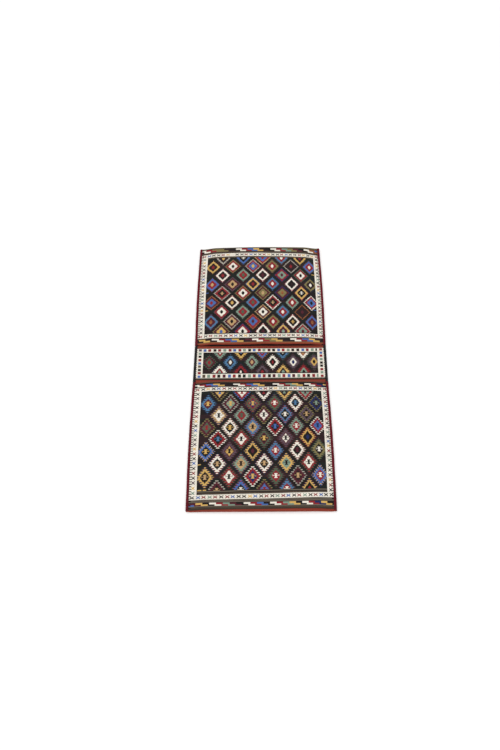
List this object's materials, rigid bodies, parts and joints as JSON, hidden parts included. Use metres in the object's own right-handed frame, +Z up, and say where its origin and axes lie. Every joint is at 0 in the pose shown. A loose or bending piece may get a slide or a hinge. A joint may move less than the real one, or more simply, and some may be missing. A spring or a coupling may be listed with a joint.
{
  "type": "kilim saddle bag",
  "caption": "Flatwoven wool saddle bag lying flat: pouches folded up from one long strip, mouths facing across a narrow bridge, sides overcast with yarn.",
  "frame": {"origin": "on the floor under the middle of the bridge, which is the middle of the bag's underside", "axes": "+X across the bag from the left side seams to the right ones, +Y along the bag from the near pouch to the far pouch, +Z up from the plain back to the decorated fronts"},
  "size_m": [0.52, 1.36, 0.0163],
  "materials": {
    "kilim_cloth": "weft-faced wool flatweave, matt, ribbed across the warp, lozenges in many dyed colours on a brown-black ground with ivory borders",
    "burgundy_yarn": "matt plied wool yarn, overcast in close slanting stitches",
    "black_yarn": "slightly glossy dark goat hair, wrapped in close turns",
    "rust_yarn": "matt wool yarn, bound in close turns"
  },
  "bodies": {
    "root": {"woven_strip": "kilim_cloth", "near_left_seam": "burgundy_yarn", "near_right_seam": "burgundy_yarn", "far_left_seam": "burgundy_yarn", "far_right_seam": "burgundy_yarn", "bridge_left_edge": "black_yarn", "bridge_right_edge": "black_yarn", "near_mouth_binding": "rust_yarn", "far_mouth_binding": "rust_yarn"}
  },
  "joints": []
}
